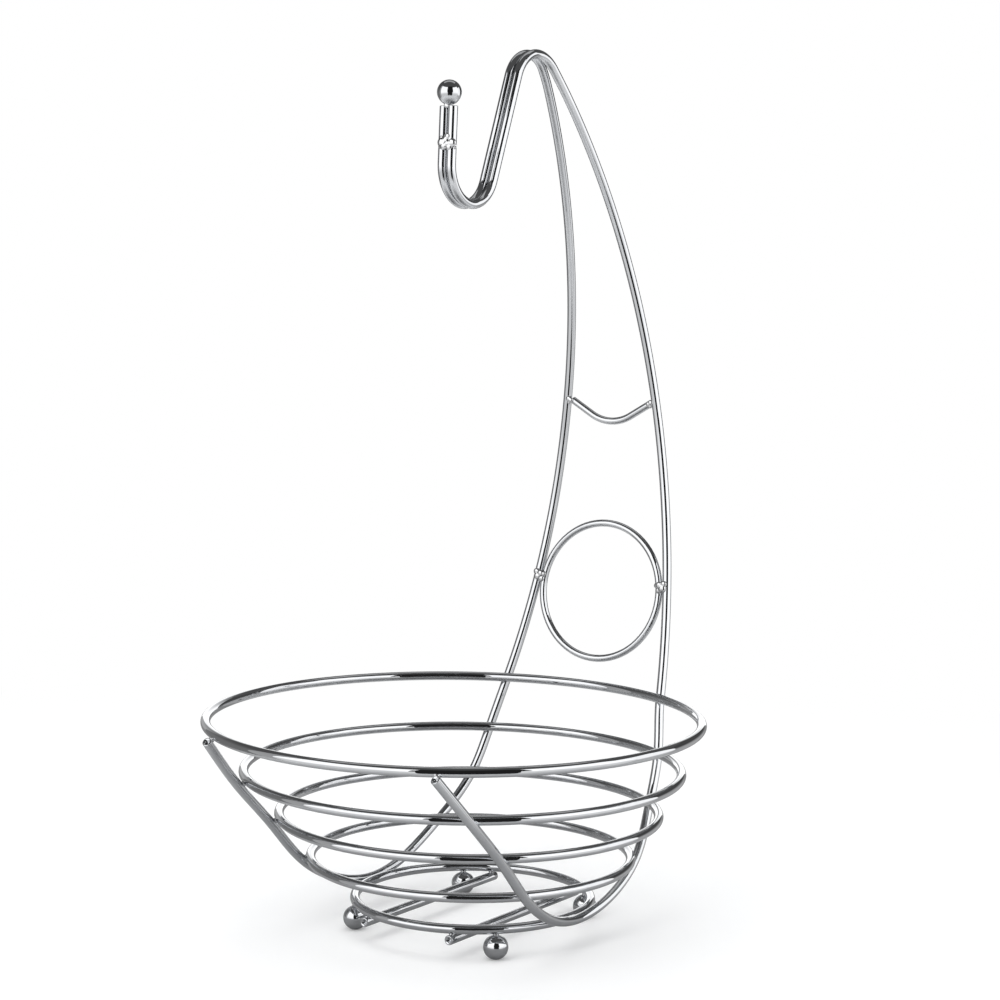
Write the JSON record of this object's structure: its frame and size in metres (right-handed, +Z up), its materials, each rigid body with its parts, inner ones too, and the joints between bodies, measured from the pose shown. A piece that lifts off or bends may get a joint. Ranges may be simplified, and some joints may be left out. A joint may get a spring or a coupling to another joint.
{
  "type": "fruit bowl with banana hanger",
  "caption": "Round wire fruit bowl of stacked rings on ball feet, with two long wires that rise at the back, arch over and end in a hook with a ball for hanging bananas.",
  "frame": {"origin": "on the table, under the middle of the whole object's box", "axes": "+Z up; +Y towards the hanger's uprights at the back; -Y towards the front of the bowl; the object is symmetric left and right about X = 0"},
  "size_m": [0.26, 0.2817, 0.4586],
  "materials": {
    "bright_chrome": "mirror-bright chrome plating on steel wire",
    "weld_chrome": "bright chrome plating over uneven weld beads"
  },
  "bodies": {
    "root": {"rim_ring": "bright_chrome", "upper_ring": "bright_chrome", "middle_ring": "bright_chrome", "lower_ring": "bright_chrome", "base_ring": "bright_chrome", "left_hanger_wire": "bright_chrome", "right_hanger_wire": "bright_chrome", "left_cross_bar": "bright_chrome", "right_cross_bar": "bright_chrome", "front_left_ball_foot": "bright_chrome", "front_right_ball_foot": "bright_chrome", "back_left_ball_foot": "bright_chrome", "back_right_ball_foot": "bright_chrome", "hook_ball": "bright_chrome", "upright_circle": "bright_chrome", "upright_swag": "bright_chrome", "hook_pair_weld": "weld_chrome", "hook_ball_weld": "weld_chrome", "left_circle_weld": "weld_chrome", "right_circle_weld": "weld_chrome", "left_swag_weld": "weld_chrome", "right_swag_weld": "weld_chrome"}
  },
  "joints": []
}
